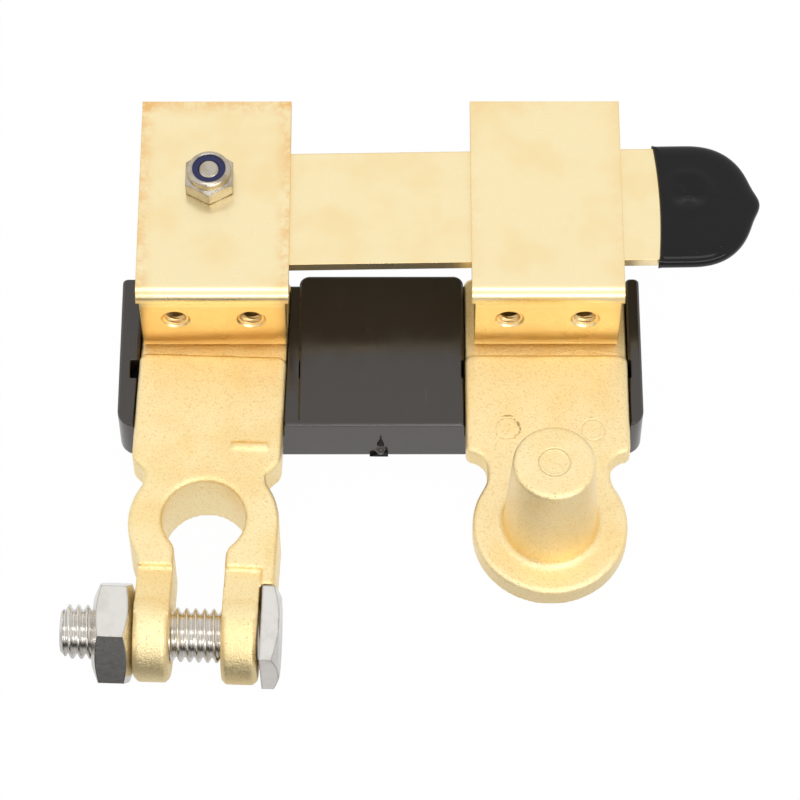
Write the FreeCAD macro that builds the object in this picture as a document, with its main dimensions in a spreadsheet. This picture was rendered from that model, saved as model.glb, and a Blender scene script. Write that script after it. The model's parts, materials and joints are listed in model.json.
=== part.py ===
import FreeCAD, Part
import os
import Sketcher

# Knife-blade battery disconnect switch, in millimetres.
# +X runs along the closed blade towards its grip, +Y towards the open side of the
# jaws, +Z up. The origin is the centre of the underside of the moulded base.

doc = FreeCAD.newDocument("disconnect_switch")
sheet = doc.addObject("Spreadsheet::Sheet", "sizes")

# How far a cutting tool runs past the face that it starts from.
PAST = 1.0

# Two edges or points this close are taken as the same.
NEAR = 0.002

DIMENSIONS = [
    ("base_width", 70.4, "moulded base, left to right"),
    ("base_depth", 23.6, "moulded base, front to rear"),
    ("base_height", 7.85, "moulded base, underside to the top of its rims"),
    ("base_corner", 2.4, "radius of the base's front corners"),
    ("base_edge", 0.3, "bevel of the base's top edges"),
    ("rim_end", 0.7, "rounding of the rims' rear ends"),
    ("panel_corner", 1.4, "radius of the middle panel's rear corners"),
    ("rim_short", 0.45, "how far the rims end in front of the middle panel's rear"),
    ("channel_inset", 12.9, "from each end of the base to the middle of its channel"),
    ("channel_gap", 0.12, "between a casting and the walls of its channel"),
    ("channel_depth", 2.8, "depth of each channel below the rims"),
    ("pocket_reach", 11.23, "from the middle of the clamp's channel to the middle panel"),
    ("pocket_wall", 1.0, "wall in front of the open strip beside the clamp terminal"),
    ("slot_length", 22.9, "cross slot under each terminal"),
    ("slot_width", 2.85, "cross slot, front to rear"),
    ("slot_ahead", 3.0, "cross slot's centre, in front of the base's centre"),
    ("slot_depth", 5.0, "cross slot below the rims"),
    ("slot_corner", 0.2, "corner radius of the cross slots"),
    ("gate_radius", 0.9, "moulding gate left on the base's front face"),
    ("gate_height", 0.5, "moulding gate, out of the front face"),
    ("gate_level", 1.1, "moulding gate's centre above the underside"),
    ("screw_row", 6.0, "base screws, behind the base's centre"),
    ("screw_spacing", 10.0, "between the two screws of one terminal"),
    ("screw_radius", 1.45, "base screw's shank"),
    ("screw_head_radius", 2.8, "base screw's head"),
    ("screw_head_height", 1.8, "base screw's head"),
    ("screw_sink", 2.4, "depth of the screws' counterbores"),
    ("cross_reach", 0.55, "arms of a screw's cross, as a part of its head's radius"),
    ("cross_width", 0.12, "half width of those arms, as a part of the head's radius"),
    ("cross_depth", 0.6, "depth of the cross, as a part of the head's height"),
    ("screw_play", 0.3, "radial play of a base screw in base and terminal"),
    ("thread_play", 0.05, "radial gap between a thread's crest and its nut"),
    ("plate_thickness", 3.5, "cast plates of both terminals"),
    ("foot_recess", 1.5, "step in a cast plate that the jaw's foot lies in"),
    ("step_gap", 1.6, "from the step in the plate to the jaw's web"),
    ("step_corner", 1.2, "corner radius of the raised plate at its step"),
    ("cast_edge", 0.4, "bevel of the castings' top edges"),
    ("cast_rear_corner", 1.2, "corner radius of the plates' rear ends"),
    ("clamp_width", 19.8, "cast plate of the clamp terminal"),
    ("clamp_turn", 2.0, "degrees that the clamp terminal sits turned in its channel"),
    ("clamp_shoulder", 5.55, "from the base's front face to the clamp's shoulders"),
    ("clamp_waist", 16.1, "clamp plate between its shoulders and its ring"),
    ("shoulder_corner", 1.9, "radius of the clamp's shoulders"),
    ("waist_blend", 1.1, "fillets at the clamp's waist"),
    ("nose_thickness", 5.0, "clamp plate in front of the base"),
    ("nose_gap", 0.5, "between the base's front face and what hangs in front of it"),
    ("bore_reach", 14.15, "from the base's front face to the clamp bore"),
    ("bore_across", 0.2, "clamp bore, right of the terminal's centre line"),
    ("bore_radius", 5.5, "clamp bore for the battery's post"),
    ("ring_radius", 9.8, "outside of the clamp ring"),
    ("ring_ahead", 0.55, "centre of the ring's outside, in front of the bore"),
    ("ring_height", 10.0, "clamp ring, top to underside"),
    ("slit_width", 6.75, "slit between the clamp's ears"),
    ("slit_lip", 2.4, "rounding where the bore opens into the slit"),
    ("crease_gap", 7.3, "from the clamp bolt back to the end of the flat top"),
    ("bolt_reach", 14.55, "from the bore's centre to the clamp bolt"),
    ("bolt_drop", 5.8, "clamp bolt's axis below the clamp's flat top"),
    ("ear_radius", 6.3, "round ears of the clamp"),
    ("ear_thickness", 4.7, "each ear along the bolt"),
    ("ear_step", 1.7, "from the flat top down to the hollow behind the ears"),
    ("ear_blend", 1.2, "fillets at the foot of that step"),
    ("arm_blend", 2.5, "fillet where the left arm leaves the ring"),
    ("ear_edge", 0.6, "bevel of the ears' rims"),
    ("lip_thickness", 1.7, "wall that keeps the bolt's head from turning"),
    ("lip_gap", 4.35, "from the clamp bolt back to the front of that wall"),
    ("mark_length", 4.6, "raised minus bar on the clamp terminal"),
    ("mark_width", 0.7, "minus bar, front to rear"),
    ("mark_height", 0.35, "minus bar above the plate"),
    ("mark_across", 5.7, "minus bar's centre, right of the terminal's centre line"),
    ("mark_ahead", 3.35, "minus bar's centre, in front of the base's front face"),
    ("clamp_bolt_radius", 3.57, "clamp bolt over its thread"),
    ("ear_hole_play", 0.3, "radial play of the clamp bolt in the ears"),
    ("corner_start", 0.93, "where a corner's cone starts, as a part of half the flats"),
    ("corner_slope", 0.66, "how steep that cone is"),
    ("bolt_tip", 9.7, "clamp bolt beyond the outer ear"),
    ("tip_chamfer", 0.9, "bevel of the clamp bolt's end"),
    ("head_square", 10.6, "square head of the clamp bolt, across flats"),
    ("head_thickness", 2.4, "square head of the clamp bolt"),
    ("head_gap", 0.4, "between the square head and its ear"),
    ("head_turn", 5.3, "degrees that the square head is turned against its lip"),
    ("head_play", 0.1, "between the square head and the lip that holds it"),
    ("nut_across", 12.7, "clamp nut across flats"),
    ("nut_thickness", 5.3, "clamp nut"),
    ("nut_seat", 0.05, "between the clamp nut and its ear"),
    ("post_width", 21.9, "cast plate of the post terminal"),
    ("post_shoulder", 4.4, "from the base's front face to the post terminal's shoulders"),
    ("post_corner", 1.0, "radius of the post terminal's shoulders"),
    ("post_waist", 16.3, "waist between the shoulders and the round end"),
    ("shoulder_blend", 2.6, "fillet between the shoulders and the waist"),
    ("end_blend", 4.0, "fillet between the waist and the round end"),
    ("post_reach", 15.2, "from the base's front face to the post"),
    ("post_end_radius", 10.2, "round end under the post"),
    ("post_top_radius", 5.32, "tapered post at its top"),
    ("post_foot_radius", 6.24, "tapered post where it meets the plate"),
    ("post_height", 16.5, "tapered post above the plate"),
    ("post_foot_blend", 1.0, "fillet at the post's foot"),
    ("post_spot_radius", 1.95, "round casting mark on the post's top"),
    ("post_spot_depth", 0.12, "depth of that mark"),
    ("sheet_thickness", 1.5, "brass sheet of the jaws"),
    ("bend_radius", 1.95, "outside of the jaws' bends"),
    ("web_front", 0.52, "front face of the jaws' webs, behind the base's centre"),
    ("jaw_height", 13.7, "jaw from its foot to its top"),
    ("leaf_width", 20.3, "jaw's top leaf, left to right"),
    ("web_width", 19.4, "jaw's web and foot, left to right"),
    ("leaf_rear", 31.9, "rear edge of the leaves, behind the base's centre"),
    ("riser_rear", 11.5, "rear face of the jaw's riser, behind the base's centre"),
    ("lead_length", 3.0, "lower leaf's lip that guides the blade in"),
    ("lead_drop", 0.9, "how far that lip bends down"),
    ("leaf_edge", 0.35, "rounding of the top leaf's rear edge"),
    ("leaf_play", 0.05, "between the blade and each leaf"),
    ("tap_radius", 1.65, "tapped holes in the webs"),
    ("tap_spacing", 10.1, "between the two tapped holes of a web"),
    ("tap_height", 7.75, "tapped holes above the jaw's foot"),
    ("tap_bevel", 0.35, "bevel at the mouth of the tapped holes"),
    ("blade_thickness", 1.5, "blade"),
    ("blade_width", 17.75, "blade, front to rear"),
    ("blade_turn", 0.93, "degrees that the blade stands open at rest"),
    ("blade_tail", 8.7, "blade beyond the pivot, to the left"),
    ("blade_past", 17.15, "blade beyond the right jaw's top leaf"),
    ("blade_tail_corner", 3.0, "corner radius of the blade's left end"),
    ("blade_nose_corner", 7.3, "corner radius of the blade's right end"),
    ("pivot_behind", 5.48, "from the pivot to the blade's rear edge"),
    ("pivot_across", 0.65, "pivot, left of the jaw's centre line"),
    ("pivot_rear", 18.5, "pivot, behind the base's centre"),
    ("pivot_radius", 1.42, "pivot bolt's shank"),
    ("pivot_play", 0.07, "radial play on the pivot bolt"),
    ("pivot_head_radius", 2.75, "pivot bolt's head"),
    ("pivot_head_height", 1.9, "pivot bolt's head"),
    ("lock_across", 6.35, "lock nut across flats"),
    ("lock_hex", 2.3, "height of the lock nut's hexagon"),
    ("lock_height", 3.6, "lock nut with its collar"),
    ("collar_radius", 2.9, "lock nut's round collar"),
    ("collar_bevel", 0.39, "bevel of the collar's rim"),
    ("collar_mouth", 2.2, "opening in the collar's rolled rim"),
    ("insert_radius", 2.45, "plastic ring inside the collar"),
    ("insert_depth", 0.3, "plastic ring below the collar's rim"),
    ("insert_height", 0.9, "plastic ring"),
    ("bolt_end_drop", 0.15, "pivot bolt's end below the top of the collar"),
    ("grip_wall", 0.65, "dipped plastic over the blade"),
    ("grip_length", 11.65, "from the middle of the grip's open rim to the blade's end"),
    ("grip_rim_bow", 1.1, "how far the ends of that rim lie nearer to the pivot"),
    ("grip_corner", 7.95, "corner radius of the grip's round end"),
    ("grip_edge", 0.8, "bevel along the grip"),
    ("grip_fit", 0.02, "between the blade and the plastic on it"),
    ("drip_radius", 1.6, "drip left at the grip's tip"),
    ("drip_out", 0.8, "drip beyond the grip's round end"),
]


class Size:
    """A length: its formula over the sheet's cells, and its value for picking edges."""

    def __init__(self, formula, value):
        self.formula = formula
        self.value = value

    @staticmethod
    def of(number):
        return number if isinstance(number, Size) else Size(repr(float(number)), float(number))

    def joined(self, sign, other, value):
        return Size("(%s %s %s)" % (self.formula, sign, other.formula), value)

    def __add__(self, other):
        other = Size.of(other)
        return self.joined("+", other, self.value + other.value)

    def __sub__(self, other):
        other = Size.of(other)
        return self.joined("-", other, self.value - other.value)

    def __mul__(self, other):
        other = Size.of(other)
        return self.joined("*", other, self.value * other.value)

    def __truediv__(self, other):
        other = Size.of(other)
        return self.joined("/", other, self.value / other.value)

    def __radd__(self, other):
        return Size.of(other) + self

    def __rsub__(self, other):
        return Size.of(other) - self

    def __rmul__(self, other):
        return Size.of(other) * self

    def __neg__(self):
        return Size.of(0) - self


class Dimensions:
    """The driving dimensions, each one kept in a named cell of the sheet."""

    def __init__(self, rows):
        for row, (alias, number, meaning) in enumerate(rows, start=1):
            sheet.set("A%d" % row, meaning)
            sheet.set("B%d" % row, str(number))
            sheet.setAlias("B%d" % row, alias)
            setattr(self, alias, Size("sizes." + alias, number))


d = Dimensions(DIMENSIONS)
doc.recompute()


# Shared ways of making a feature

def bind(feature, name, size):
    feature.setExpression(name, Size.of(size).formula)


def place(feature, at, turn=""):
    """Puts a feature or body at a point, turned by a rotation formula if one is given."""
    point = "; ".join(Size.of(value).formula for value in at)
    rotation = turn or "rotationz(0)"
    feature.setExpression("Placement", "placement(vector(%s); %s)" % (point, rotation))


def new_body(name):
    body = doc.addObject("PartDesign::Body", name)
    body.Label = name
    return body


def box(body, name, low, high, cut=False):
    """A block between two corners, added to the body or cut from it."""
    kind = "PartDesign::SubtractiveBox" if cut else "PartDesign::AdditiveBox"
    feature = body.newObject(kind, name)
    for side, start, end in zip(("Length", "Width", "Height"), low, high):
        bind(feature, side, end - start)
    place(feature, low)
    return feature


def rod(body, name, radius, start, length, axis="z", cut=False):
    """A round bar along +X, -Y or +Z from a start point, added or cut."""
    kind = "PartDesign::SubtractiveCylinder" if cut else "PartDesign::AdditiveCylinder"
    feature = body.newObject(kind, name)
    bind(feature, "Radius", radius)
    bind(feature, "Height", length)
    turn = {"x": "rotationy(90)", "-y": "rotationx(90)", "z": ""}[axis]
    place(feature, start, turn)
    return feature


def hexagon(body, name, across, start, height):
    """A hexagonal prism given across its flats, standing on a start point."""
    feature = body.newObject("PartDesign::AdditivePrism", name)
    feature.Polygon = 6
    feature.setExpression("Circumradius", across.formula + " / 2 / cos(30)")
    bind(feature, "Height", height)
    place(feature, start)
    return feature


def outline(body, name, plane, points, level_at=0, shift=0):
    """A closed sketch of straight lines whose corners are bound to the sheet."""
    sketch = body.newObject("Sketcher::SketchObject", name)
    origin_plane = next(o for o in body.Origin.OriginFeatures if o.Role == plane)
    sketch.AttachmentSupport = (origin_plane, [""])
    sketch.MapMode = "FlatFace"
    bind(sketch, "AttachmentOffset.Base.y", shift)
    bind(sketch, "AttachmentOffset.Base.z", level_at)
    corners = [tuple(Size.of(value) for value in point) for point in points]
    count = len(corners)
    for index in range(count):
        ends = (corners[index], corners[(index + 1) % count])
        start, end = (FreeCAD.Vector(u.value, v.value, 0) for u, v in ends)
        sketch.addGeometry(Part.LineSegment(start, end), False)
    for index in range(count):
        sketch.addConstraint(Sketcher.Constraint("Coincident", index, 2, (index + 1) % count, 1))
    for index, corner in enumerate(corners):
        for direction, size in zip(("DistanceX", "DistanceY"), corner):
            rule = Sketcher.Constraint(direction, -1, 1, index, 1, size.value)
            number = sketch.addConstraint(rule)
            bind(sketch, "Constraints[%d]" % number, size)
    return sketch


def pad_across(body, name, sketch, width):
    """Pads a side profile by a width, half to each side."""
    pad = body.newObject("PartDesign::Pad", name)
    pad.Profile = sketch
    pad.Midplane = True
    bind(pad, "Length", width)
    return pad


def groove(body, name, sketch, axis="V_Axis"):
    """Turns a profile round the sketch's upright axis and cuts it away."""
    cut = body.newObject("PartDesign::Groove", name)
    cut.Profile = sketch
    cut.ReferenceAxis = (sketch, [axis])
    cut.Angle = 360.0
    return cut


def dress(body, kind, name, size, chosen):
    """Fillets or chamfers the edges of the body that a test picks out."""
    doc.recompute()
    base = body.Tip
    names = []
    for number, edge in enumerate(base.Shape.Edges, start=1):
        if chosen(edge.BoundBox):
            names.append("Edge%d" % number)
    if not names:
        raise ValueError("no edge found for " + name)
    feature = body.newObject("PartDesign::" + kind, name)
    feature.Base = (base, names)
    bind(feature, "Radius" if kind == "Fillet" else "Size", size)
    return feature


def same(number, size):
    return abs(number - Size.of(size).value) < NEAR


def upright(bounds):
    return bounds.XLength < NEAR and bounds.YLength < NEAR


def level(bounds, height):
    """True for an edge that lies flat at a height."""
    return bounds.ZLength < NEAR and same(bounds.ZMin, height)


def along_x(bounds, y, z):
    """True for an edge that runs straight along +X through a point."""
    return bounds.YLength < NEAR and same(bounds.YMin, y) and level(bounds, z)


# Levels and lines that several pieces share

channel_floor = d.base_height - d.channel_depth
plate_top = channel_floor + d.plate_thickness
foot_level = plate_top - d.foot_recess
jaw_top = foot_level + d.jaw_height
leaf_underside = jaw_top - d.sheet_thickness
blade_top = leaf_underside - d.leaf_play
blade_bottom = blade_top - d.blade_thickness
lower_leaf_top = blade_bottom - d.leaf_play
lower_leaf_underside = lower_leaf_top - d.sheet_thickness
side_x = d.base_width / 2 - d.channel_inset
rear_line = d.base_depth / 2
pivot_x = -side_x - d.pivot_across
blade_reach = side_x + d.leaf_width / 2 + d.blade_past - pivot_x
inner_bend = d.bend_radius - d.sheet_thickness

# The castings are drawn about the middle of their two screws.
cast_rear = rear_line - d.screw_row
cast_base_front = -rear_line - d.screw_row
cast_step = d.web_front - d.step_gap - d.screw_row

# The clamp terminal, its bolt and its channel are all turned about that middle.
clamp_frame = "placement(vector(%s; %s; 0); rotationz(-sizes.clamp_turn))" % (
    (-side_x).formula, d.screw_row.formula)


def screw_places():
    """The four base screws: two under each jaw's foot."""
    for side, side_name in ((-1, "left"), (1, "right")):
        for hand, hand_name in ((-1, "outer" if side < 0 else "inner"),
                                (1, "inner" if side < 0 else "outer")):
            yield side, hand, side_name + "_" + hand_name


# Moulded base: a black block with a channel for each casting

def make_base():
    body = new_body("base")
    half = d.base_width / 2
    box(body, "base_block", (-half, -rear_line, Size.of(0)), (half, rear_line, d.base_height))
    dress(body, "Fillet", "base_front_corners", d.base_corner,
          lambda b: upright(b) and same(b.YMin, -rear_line))
    rim_rear = rear_line - d.rim_short
    inside_rims = side_x + d.clamp_width / 2 - PAST
    for name, start, end in (("left", -half - PAST, -inside_rims),
                             ("right", inside_rims, half + PAST)):
        box(body, name + "_rim_rear", (start, rim_rear, Size.of(-PAST)),
            (end, rear_line + PAST, d.base_height + PAST), cut=True)
    panel_ends = cut_channels(body)
    dress(body, "Fillet", "panel_corners", d.panel_corner,
          lambda b: upright(b) and same(b.YMin, rear_line)
          and any(same(b.XMin, x) for x in panel_ends))
    dress(body, "Fillet", "rim_ends", d.rim_end,
          lambda b: upright(b) and same(b.YMin, rim_rear)
          and abs(b.XMin) > inside_rims.value + NEAR)
    dress(body, "Chamfer", "base_top_edges", d.base_edge,
          lambda b: level(b, d.base_height))
    for side, name in ((-1, "left"), (1, "right")):
        centre = side * side_x
        low = (centre - d.slot_length / 2, -d.slot_ahead - d.slot_width / 2,
               d.base_height - d.slot_depth)
        high = (centre + d.slot_length / 2, -d.slot_ahead + d.slot_width / 2,
                d.base_height + PAST)
        box(body, name + "_slot", low, high, cut=True)
        ends = (low[0], high[0])
        dress(body, "Fillet", name + "_slot_corners", d.slot_corner,
              lambda b: upright(b) and any(same(b.XMin, x) for x in ends))
    gate = body.newObject("PartDesign::AdditiveCone", "gate_mark")
    bind(gate, "Radius1", d.gate_radius)
    bind(gate, "Radius2", d.gate_radius / 3)
    bind(gate, "Height", d.gate_height)
    place(gate, (0, -rear_line, d.gate_level), "rotationx(90)")
    for side, hand, name in screw_places():
        x = side * side_x + hand * d.screw_spacing / 2
        rod(body, name + "_screw_hole", d.screw_radius + d.screw_play,
            (x, d.screw_row, Size.of(-PAST)), d.base_height + PAST, cut=True)
        rod(body, name + "_counterbore", d.screw_head_radius + d.screw_play,
            (x, d.screw_row, Size.of(-PAST)), d.screw_sink + PAST, cut=True)
    return body


def cut_channels(body):
    """A channel close around each casting; gives both ends of the panel between them."""
    top = d.base_height + PAST
    far = rear_line * 2
    post_reach = d.post_width / 2 + d.channel_gap
    box(body, "post_channel", (side_x - post_reach, -far, channel_floor),
        (side_x + post_reach, far, top), cut=True)
    pocket_end = d.pocket_reach - side_x
    box(body, "clamp_pocket", (-side_x, d.pocket_wall - rear_line, channel_floor),
        (pocket_end, far, top), cut=True)
    reach = d.clamp_width / 2 + d.channel_gap
    turned = box(body, "clamp_channel", (-reach, -far, channel_floor),
                 (reach, far, top), cut=True)
    corner = "placement(vector(%s; %s; %s); rotationz(0))" % (
        (-reach).formula, (-far).formula, channel_floor.formula)
    turned.setExpression("Placement", clamp_frame + " * " + corner)
    return pocket_end, side_x - post_reach


# What both castings share: the plate in the channel, its step and its screw holes

def make_plate(body, width):
    half = width / 2
    box(body, "plate", (-half, cast_base_front - PAST, channel_floor),
        (half, cast_rear, plate_top))
    dress(body, "Fillet", "plate_rear_corners", d.cast_rear_corner,
          lambda b: upright(b) and same(b.YMin, cast_rear))
    box(body, "foot_seat", (-half - PAST, cast_step, foot_level),
        (half + PAST, cast_rear + PAST, plate_top + PAST), cut=True)
    dress(body, "Fillet", "step_corners", d.step_corner,
          lambda b: upright(b) and same(b.YMin, cast_step))


def drill_plate(body):
    for hand, name in ((-1, "left"), (1, "right")):
        rod(body, name + "_screw_hole", d.screw_radius + d.screw_play,
            (hand * d.screw_spacing / 2, Size.of(0), channel_floor - PAST),
            d.plate_thickness + 2 * PAST, cut=True)


# Clamp terminal: cast plate, split ring and two ears in one piece

bore_y = cast_base_front - d.bore_reach
ring_y = bore_y - d.ring_ahead
bolt_y = bore_y - d.bolt_reach
bolt_z = plate_top - d.bolt_drop
ring_bottom = plate_top - d.ring_height
ear_out = d.slit_width / 2 + d.ear_thickness
crease = bolt_y + d.crease_gap
hollow = plate_top - d.ear_step


def make_ear(body, name, start):
    """A round ear with bevelled rims, turned about the clamp bolt's axis."""
    end = start + d.ear_thickness
    rim = d.ear_radius - d.ear_edge
    profile = outline(body, name + "_profile", "XY_Plane", [
        (start, 0), (start, rim), (start + d.ear_edge, d.ear_radius),
        (end - d.ear_edge, d.ear_radius), (end, rim), (end, 0)],
        level_at=bolt_z, shift=bolt_y)
    ear = body.newObject("PartDesign::Revolution", name)
    ear.Profile = profile
    ear.ReferenceAxis = (profile, ["H_Axis"])
    ear.Angle = 360.0


def make_clamp_nose(body):
    """The plate in front of the base, from its shoulders to the split ring."""
    half = d.clamp_width / 2
    shoulder = cast_base_front - d.clamp_shoulder
    waist = d.clamp_waist / 2
    waist_start = shoulder - (half - waist)
    nose_back = cast_base_front - d.nose_gap
    nose_plan = outline(body, "nose_plan", "XY_Plane", [
        (-half, nose_back), (-half, shoulder), (-waist, waist_start), (-waist, ring_y),
        (waist, ring_y), (waist, waist_start), (half, shoulder), (half, nose_back)],
        level_at=plate_top - d.nose_thickness)
    nose = body.newObject("PartDesign::Pad", "nose")
    nose.Profile = nose_plan
    bind(nose, "Length", d.nose_thickness)
    dress(body, "Fillet", "shoulder_corners", d.shoulder_corner,
          lambda b: upright(b) and same(b.YMin, shoulder) and same(abs(b.XMin), half))
    rod(body, "ring", d.ring_radius, (d.bore_across, ring_y, ring_bottom), d.ring_height)
    dress(body, "Fillet", "waist_blends", d.waist_blend,
          lambda b: upright(b) and same(abs(b.XMin), waist))


def make_clamp_ears(body):
    """The arms that run from the ring to its two ears, and the lip for the bolt's head."""
    slit_side = d.slit_width / 2
    ring_side = d.bore_across + d.ring_radius
    box(body, "left_arm", (-ear_out, crease, ring_bottom), (-slit_side, bore_y, plate_top))
    box(body, "right_arm", (slit_side, crease, ring_bottom), (ring_side, bore_y, plate_top))
    box(body, "ring_front", (-d.ring_radius, bolt_y - d.ear_radius, hollow),
        (ring_side + PAST, crease, plate_top + PAST), cut=True)
    for name, start in (("left", -ear_out), ("right", slit_side)):
        box(body, name + "_ear_web", (start, bolt_y, ring_bottom),
            (start + d.ear_thickness, crease + PAST, hollow))
        make_ear(body, name + "_ear", Size.of(start))
    box(body, "head_lip", (ring_side - d.lip_thickness, bolt_y + d.lip_gap, ring_bottom),
        (ring_side, crease + PAST, plate_top))
    box(body, "slit", (-slit_side, bolt_y - d.ear_radius - PAST, ring_bottom - PAST * 3),
        (slit_side, bore_y, plate_top + PAST), cut=True)
    rod(body, "ear_holes", d.clamp_bolt_radius + d.ear_hole_play,
        (-ear_out - PAST, bolt_y, bolt_z), 2 * (ear_out + PAST), axis="x", cut=True)


def cut_head_seat(body):
    """The turned square that the bolt's head takes out of its lip."""
    seat = body.newObject("PartDesign::SubtractiveBox", "head_seat")
    side = d.head_square + 2 * d.head_play
    bind(seat, "Length", d.ring_radius - ear_out + PAST)
    bind(seat, "Width", side)
    bind(seat, "Height", side)
    lean = "sizes.head_turn"
    corner_y = "%s - %s / 2 * (cos(%s) - sin(%s))" % (bolt_y.formula, side.formula, lean, lean)
    corner_z = "%s - %s / 2 * (cos(%s) + sin(%s))" % (bolt_z.formula, side.formula, lean, lean)
    seat.setExpression("Placement", "placement(vector(%s; %s; %s); rotationx(%s))"
                       % (ear_out.formula, corner_y, corner_z, lean))


def soften_clamp(body):
    """Rounds the slit's mouth, the left arm and the hollow, and bevels the top."""
    ear_rise = hollow.value - bolt_z.value
    ear_foot = bolt_y.value + (d.ear_radius.value ** 2 - ear_rise ** 2) ** 0.5
    dress(body, "Fillet", "slit_lips", d.slit_lip,
          lambda b: upright(b) and same(abs(b.XMin), d.slit_width / 2)
          and b.YMin > crease.value + NEAR)
    dress(body, "Fillet", "arm_blend", d.arm_blend,
          lambda b: upright(b) and same(b.XMin, -ear_out) and b.YMin > crease.value + NEAR)
    dress(body, "Fillet", "ear_blends", d.ear_blend,
          lambda b: along_x(b, crease, hollow) or along_x(b, ear_foot, hollow))
    dress(body, "Chamfer", "top_edges", d.cast_edge,
          lambda b: level(b, plate_top) and b.YMax > crease.value + NEAR)


def make_clamp_terminal():
    body = new_body("clamp_terminal")
    make_plate(body, d.clamp_width)
    make_clamp_nose(body)
    make_clamp_ears(body)
    rod(body, "bore", d.bore_radius, (d.bore_across, bore_y, ring_bottom - PAST),
        d.ring_height + 2 * PAST, cut=True)
    cut_head_seat(body)
    drill_plate(body)
    soften_clamp(body)
    mark_y = cast_base_front - d.mark_ahead
    box(body, "minus_mark",
        (d.mark_across - d.mark_length / 2, mark_y - d.mark_width / 2, plate_top),
        (d.mark_across + d.mark_length / 2, mark_y + d.mark_width / 2,
         plate_top + d.mark_height))
    body.setExpression("Placement", clamp_frame)
    return body


# Post terminal: cast plate with a waist, a round end and a tapered battery post

def make_post_terminal():
    body = new_body("post_terminal")
    half = d.post_width / 2
    waist = d.post_waist / 2
    make_plate(body, d.post_width)
    shoulder = cast_base_front - d.post_shoulder
    post_y = cast_base_front - d.post_reach
    box(body, "nose", (-half, shoulder, channel_floor), (half, cast_base_front, plate_top))
    dress(body, "Fillet", "shoulder_corners", d.post_corner,
          lambda b: upright(b) and same(b.YMin, shoulder))
    box(body, "waist", (-waist, post_y, channel_floor), (waist, shoulder + PAST, plate_top))
    rod(body, "round_end", d.post_end_radius, (0, post_y, channel_floor), d.plate_thickness)
    dress(body, "Fillet", "end_blends", d.end_blend,
          lambda b: upright(b) and same(abs(b.XMin), waist) and not same(b.YMin, shoulder))
    dress(body, "Fillet", "shoulder_blends", d.shoulder_blend,
          lambda b: upright(b) and same(abs(b.XMin), waist) and same(b.YMin, shoulder))
    dress(body, "Chamfer", "plate_edges", d.cast_edge, lambda b: level(b, plate_top))
    post = body.newObject("PartDesign::AdditiveCone", "post")
    bind(post, "Radius1", d.post_foot_radius)
    bind(post, "Radius2", d.post_top_radius)
    bind(post, "Height", d.post_height)
    place(post, (0, post_y, plate_top))
    dress(body, "Fillet", "post_foot", d.post_foot_blend,
          lambda b: level(b, plate_top) and same(b.XLength, 2 * d.post_foot_radius))
    post_top = plate_top + d.post_height
    dress(body, "Chamfer", "post_rim", d.cast_edge, lambda b: level(b, post_top))
    rod(body, "post_spot", d.post_spot_radius, (0, post_y, post_top - d.post_spot_depth),
        d.post_spot_depth + PAST, cut=True)
    drill_plate(body)
    place(body, (side_x, d.screw_row, 0))
    return body


# Jaws: one strip of brass each, folded into a foot, a web and two leaves

def make_jaw(name, side):
    body = new_body(name)
    front = d.web_front
    back = d.web_front + d.sheet_thickness
    bend_line = jaw_top - d.bend_radius
    riser_front = d.riser_rear - d.sheet_thickness
    foot_top = foot_level + d.sheet_thickness
    upper = outline(body, name + "_upper_profile", "YZ_Plane", [
        (front, bend_line), (front, jaw_top), (d.leaf_rear, jaw_top),
        (d.leaf_rear, leaf_underside), (back, leaf_underside), (back, bend_line)])
    pad_across(body, name + "_top_leaf", upper, d.leaf_width)
    lip_start = d.leaf_rear - d.lead_length
    lip_top = lower_leaf_top - d.lead_drop
    lip_bottom = lower_leaf_underside - d.lead_drop
    lower = outline(body, name + "_lower_profile", "YZ_Plane", [
        (front, bend_line), (front, foot_level), (d.riser_rear, foot_level),
        (d.riser_rear, lower_leaf_underside), (lip_start, lower_leaf_underside),
        (d.leaf_rear, lip_bottom), (d.leaf_rear, lip_top), (lip_start, lower_leaf_top),
        (riser_front, lower_leaf_top), (riser_front, foot_top), (back, foot_top),
        (back, bend_line)])
    pad_across(body, name + "_web_and_foot", lower, d.web_width)

    outer = [(front, jaw_top), (front, foot_level), (d.riser_rear, foot_level),
             (riser_front, lower_leaf_top)]
    inner = [(back, leaf_underside), (back, foot_top), (riser_front, foot_top),
             (d.riser_rear, lower_leaf_underside)]
    dress(body, "Fillet", name + "_outer_bends", d.bend_radius,
          lambda b: any(along_x(b, y, z) for y, z in outer))
    dress(body, "Fillet", name + "_inner_bends", inner_bend,
          lambda b: any(along_x(b, y, z) for y, z in inner))
    dress(body, "Fillet", name + "_rear_edge", d.leaf_edge,
          lambda b: along_x(b, d.leaf_rear, jaw_top))
    for hand, hand_name in ((-1, "left"), (1, "right")):
        tap_x = hand * d.tap_spacing / 2
        rod(body, name + "_" + hand_name + "_tap", d.tap_radius,
            (tap_x, back + PAST, foot_level + d.tap_height),
            d.sheet_thickness + 2 * PAST, axis="-y", cut=True)
        screw_x = hand * d.screw_spacing / 2
        rod(body, name + "_" + hand_name + "_foot_tap", d.screw_radius + d.thread_play,
            (screw_x, d.screw_row, foot_level - PAST), d.sheet_thickness + 2 * PAST, cut=True)
    dress(body, "Chamfer", name + "_tap_mouths", d.tap_bevel,
          lambda b: same(b.YMin, front) and same(b.YMax, front)
          and same(b.XLength, 2 * d.tap_radius))
    if side < 0:
        rod(body, name + "_pivot_hole", d.pivot_radius + d.pivot_play,
            (-d.pivot_across, d.pivot_rear, lower_leaf_underside - PAST),
            jaw_top - lower_leaf_underside + 2 * PAST, cut=True)
    place(body, (side * side_x, 0, 0))
    return body


# Blade: a flat brass bar drilled for the pivot, drawn about the pivot's axis

blade_front = d.pivot_behind - d.blade_width


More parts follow.
